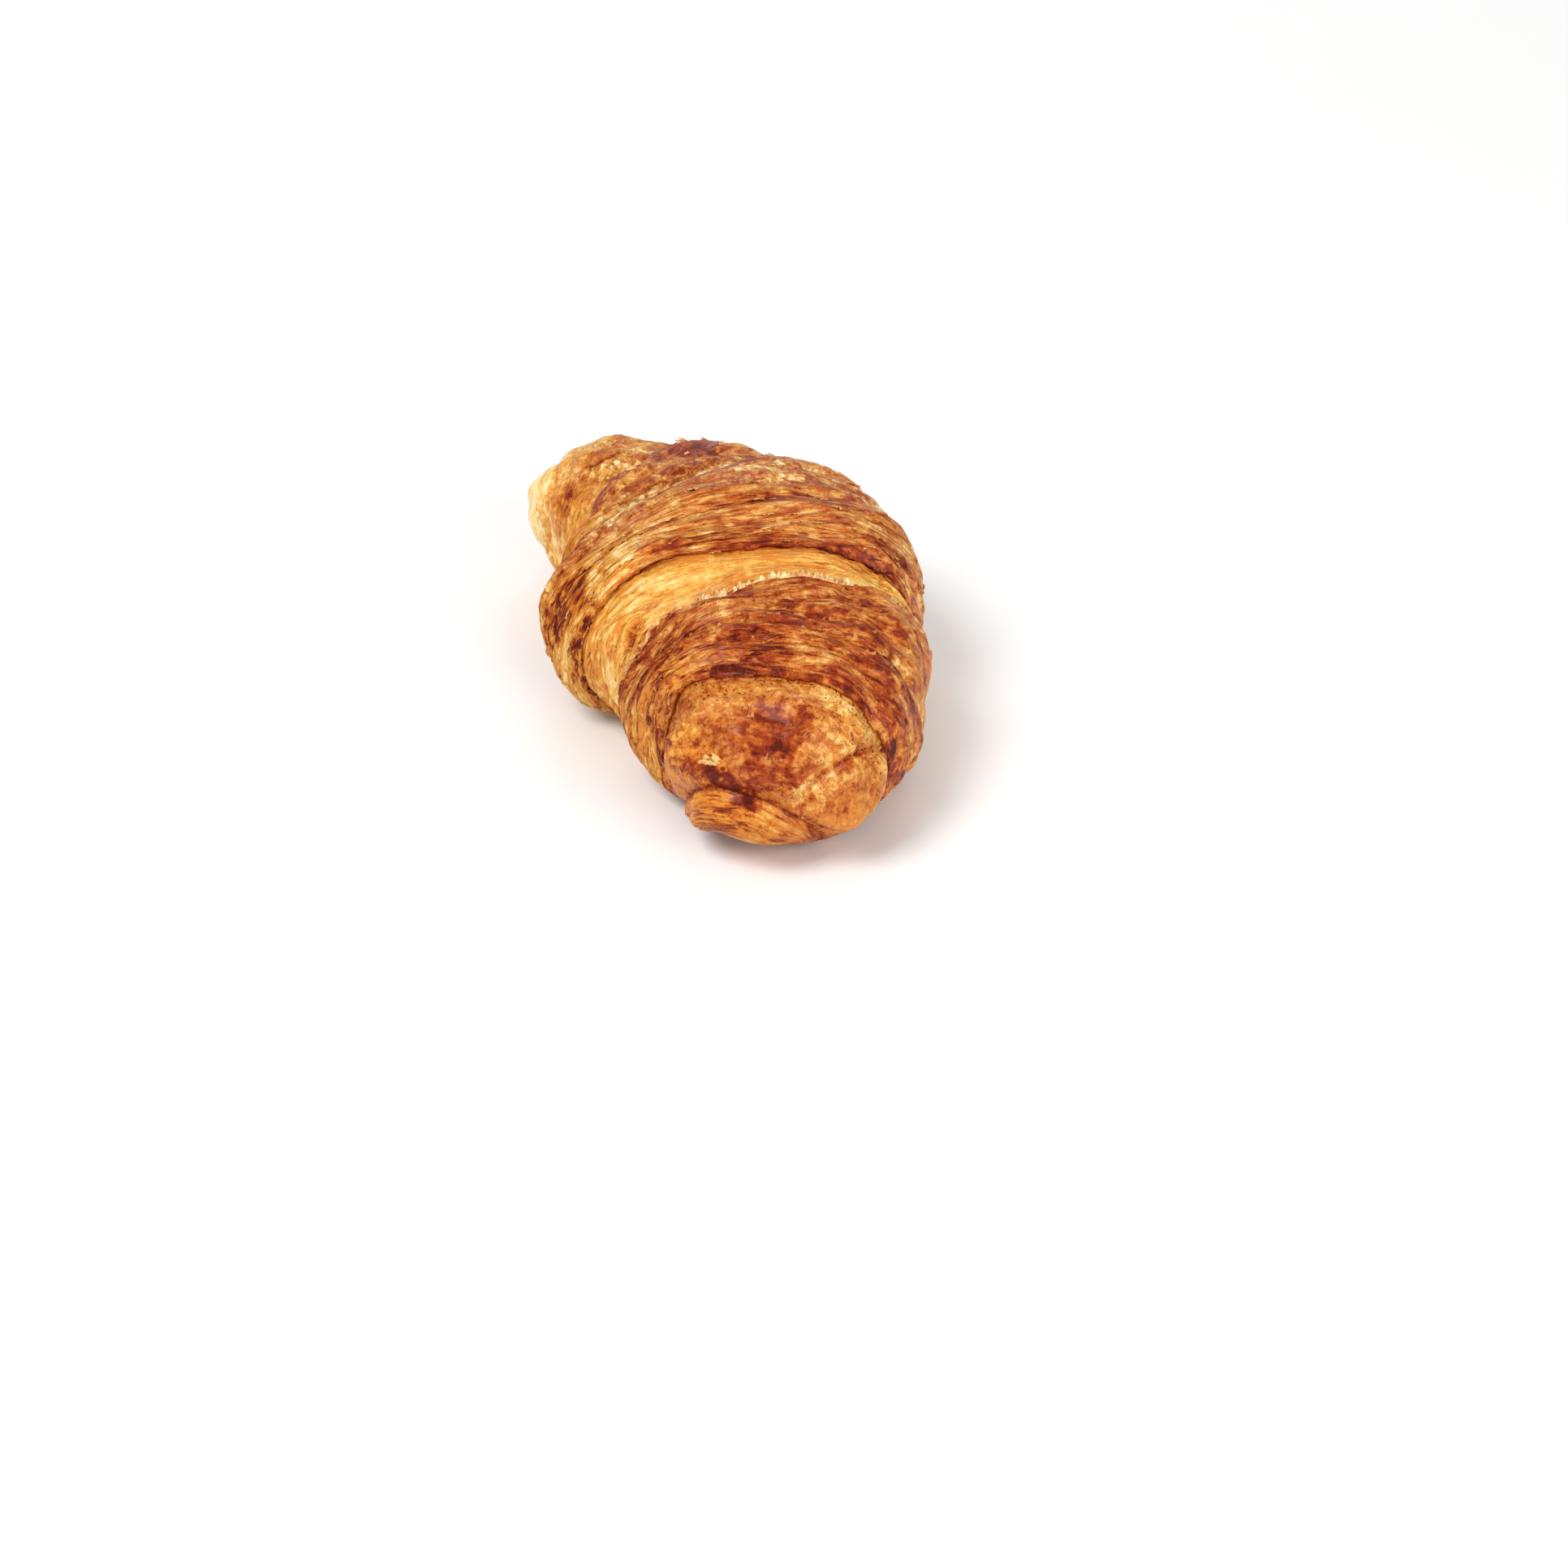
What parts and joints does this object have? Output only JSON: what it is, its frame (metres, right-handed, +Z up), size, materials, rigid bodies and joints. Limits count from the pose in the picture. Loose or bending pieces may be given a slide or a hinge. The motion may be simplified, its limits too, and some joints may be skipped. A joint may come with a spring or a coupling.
{
  "type": "croissant",
  "caption": "Whole baked croissant: a rolled laminated crescent with stepped wraps, a stretched pale valley, blunt rolled ends and a flat base.",
  "frame": {"origin": "centre of the bounding box in plan, on the flat base that the roll rests on", "axes": "+Z up, X along the roll from tip to tip (+X is the blunt end nearest the camera in the picture), the tips bend towards -Y and the outer curve faces +Y"},
  "size_m": [0.128, 0.0784, 0.0465],
  "materials": {
    "baked_crust": "egg-washed baked crust, golden to red-brown, satin"
  },
  "bodies": {
    "root": {"croissant": "baked_crust"}
  },
  "joints": []
}
